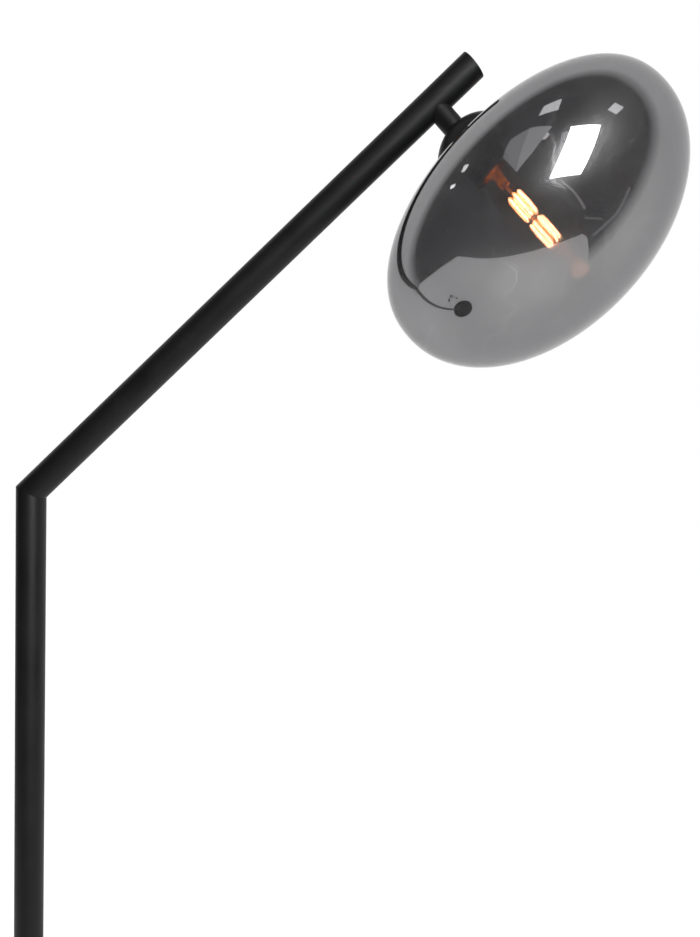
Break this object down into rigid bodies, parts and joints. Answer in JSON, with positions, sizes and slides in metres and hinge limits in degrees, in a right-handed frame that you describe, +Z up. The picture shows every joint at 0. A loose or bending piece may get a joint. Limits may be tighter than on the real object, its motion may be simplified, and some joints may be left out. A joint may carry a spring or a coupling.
{
  "type": "floor lamp",
  "caption": "Floor lamp with a round weighted base, a tall tube pole with a bent-up arm, and a clear globe of blown glass hung from the arm's end around a filament bulb.",
  "frame": {"origin": "on the floor, on the pole's axis, under the middle of the base", "axes": "+Z up along the pole, +X from the pole towards the globe, the way the arm leans"},
  "size_m": [1.0001, 0.4285, 1.4981],
  "materials": {
    "black_coat": "satin powder coat",
    "pad_rubber": "matte foam",
    "cast_weight": "raw cast",
    "zinc_steel": "zinc plated",
    "gasket_rubber": "soft matte",
    "clear_glass": "clear blown glass, mirror smooth",
    "amber_glass": "faint warm tint, polished",
    "black_plastic": "fine satin",
    "porcelain": "glazed",
    "thread_brass": "rolled sheet, bright",
    "filament": "coated light strip",
    "support_wire": "drawn wire",
    "cord_sheath": "smooth flexible sheath"
  },
  "bodies": {
    "stand": {"base_pad": "pad_rubber", "base_weight": "cast_weight", "base_cover": "black_coat", "base_stud": "zinc_steel", "base_washer": "zinc_steel", "base_nut": "zinc_steel", "pole_foot": "zinc_steel", "pole_lower": "black_coat", "pole_joiner": "zinc_steel", "pole_upper": "black_coat", "arm_tube": "black_coat", "arm_cap": "black_coat", "neck_tube": "black_coat", "neck_nut": "zinc_steel", "neck_nipple": "zinc_steel", "dome_cap": "black_coat", "cap_screws": "black_coat", "cap_locknut": "zinc_steel", "globe_gasket": "gasket_rubber", "glass_globe": "clear_glass", "holder_crown": "black_plastic", "holder_skirt": "black_plastic", "holder_insert": "porcelain", "holder_shell": "thread_brass", "holder_contact": "thread_brass", "inner_leads": "cord_sheath", "cord_lead_in": "cord_sheath", "cord_clamp": "black_plastic", "clamp_screws": "zinc_steel", "cord_grommet": "gasket_rubber", "mains_cord": "cord_sheath", "cord_tail": "cord_sheath", "cord_coil": "cord_sheath", "cord_end": "cord_sheath", "switch_tray": "black_plastic", "switch_lid": "black_plastic", "switch_spring": "zinc_steel", "switch_screws": "zinc_steel", "plug_body": "black_plastic", "plug_pins": "thread_brass"},
    "bulb": {"bulb_cap": "thread_brass", "bulb_insulator": "porcelain", "bulb_tip": "zinc_steel", "bulb_envelope": "amber_glass", "bulb_stem": "amber_glass", "bulb_filaments": "filament", "bulb_supports": "support_wire"},
    "button": {"switch_button": "black_plastic"}
  },
  "joints": [
    {"name": "bulb_pull", "type": "slide", "parent": "stand", "child": "bulb", "axis": [0.7071, 0, -0.7071], "range_m": [0, 0.02]},
    {"name": "foot_button_press", "type": "slide", "parent": "stand", "child": "button", "axis": [0, 0, -1], "range_m": [0, 0.0025], "stiffness_N_per_m": 400, "springref_m": -0.001, "deforming": ["switch_spring"]}
  ]
}
